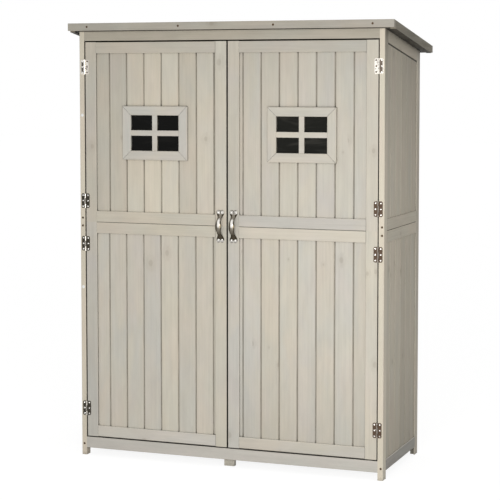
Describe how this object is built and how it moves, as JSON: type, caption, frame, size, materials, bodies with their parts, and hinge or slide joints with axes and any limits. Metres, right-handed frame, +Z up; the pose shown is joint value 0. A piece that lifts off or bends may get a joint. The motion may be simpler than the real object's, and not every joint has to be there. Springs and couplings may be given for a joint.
{
  "type": "garden storage cabinet",
  "caption": "Wooden garden storage cabinet with two hinged doors of framed matchboard, small cross-barred windows, bow handles, shelves inside and a roof that falls to the back.",
  "frame": {"origin": "on the ground, under the middle of the bounding box", "axes": "+Z up, +X to the right seen from the front, the doors face -Y"},
  "size_m": [1.276, 0.55, 1.65],
  "materials": {
    "stained_frame": "grey-beige stained spruce, planed",
    "stained_boards": "grey-beige stained spruce matchboard",
    "roof_trim": "grey-beige stained spruce, shaded",
    "inner_wood": "thin grey stain on spruce",
    "roofing_felt": "mineral-faced bitumen felt",
    "window_pane": "clear acrylic sheet",
    "hinge_steel": "plated pressed steel",
    "handle_steel": "nickel-plated pressed steel",
    "strike_steel": "zinc-plated steel",
    "catch_plastic": "moulded housing"
  },
  "bodies": {
    "carcass": {"back_boards": "stained_boards", "back_rails": "inner_wood", "centre_feet": "stained_frame", "floor_bearers": "inner_wood", "floor_boards": "inner_wood", "front_bottom_rail": "stained_frame", "front_fascia": "roof_trim", "header_rail": "stained_frame", "hinge_pins": "hinge_steel", "left_side_lower_boards": "stained_boards", "left_side_lower_rails": "stained_frame", "left_side_lower_stiles": "stained_frame", "left_side_upper_boards": "stained_boards", "left_side_upper_rails": "stained_frame", "left_side_upper_stiles": "stained_frame", "magnetic_catches": "catch_plastic", "partition_boards": "inner_wood", "partition_rails": "inner_wood", "post_hinge_leaves": "hinge_steel", "rear_fascia": "roof_trim", "right_side_lower_boards": "stained_boards", "right_side_lower_rails": "stained_frame", "right_side_lower_stiles": "stained_frame", "right_side_upper_boards": "stained_boards", "right_side_upper_rails": "stained_frame", "right_side_upper_stiles": "stained_frame", "roof_bearers": "inner_wood", "roof_boards": "inner_wood", "roofing_felt": "roofing_felt", "shelf_boards": "inner_wood", "shelf_cleats": "inner_wood", "verge_boards": "roof_trim"},
    "left_door": {"left_door_batten": "inner_wood", "left_door_handle": "handle_steel", "left_door_hinge_leaves": "hinge_steel", "left_door_lower_boards": "stained_boards", "left_door_lower_rails": "stained_frame", "left_door_lower_stiles": "stained_frame", "left_door_strikes": "strike_steel", "left_door_upper_boards": "stained_boards", "left_door_upper_rails": "stained_frame", "left_door_upper_stiles": "stained_frame", "left_window_beads": "stained_frame", "left_window_casing": "stained_frame", "left_window_muntins": "stained_frame", "left_window_pane": "window_pane"},
    "right_door": {"right_door_batten": "inner_wood", "right_door_handle": "handle_steel", "right_door_hinge_leaves": "hinge_steel", "right_door_lower_boards": "stained_boards", "right_door_lower_rails": "stained_frame", "right_door_lower_stiles": "stained_frame", "right_door_strikes": "strike_steel", "right_door_upper_boards": "stained_boards", "right_door_upper_rails": "stained_frame", "right_door_upper_stiles": "stained_frame", "right_window_beads": "stained_frame", "right_window_casing": "stained_frame", "right_window_muntins": "stained_frame", "right_window_pane": "window_pane"}
  },
  "joints": [
    {"name": "left_door_hinge", "type": "hinge", "parent": "carcass", "child": "left_door", "pos_m": [-0.5779, -0.2516, 0.9], "axis": [0, 0, -1], "range_deg": [0, 180]},
    {"name": "right_door_hinge", "type": "hinge", "parent": "carcass", "child": "right_door", "pos_m": [0.5779, -0.2516, 0.9], "axis": [0, 0, 1], "range_deg": [0, 180]}
  ]
}
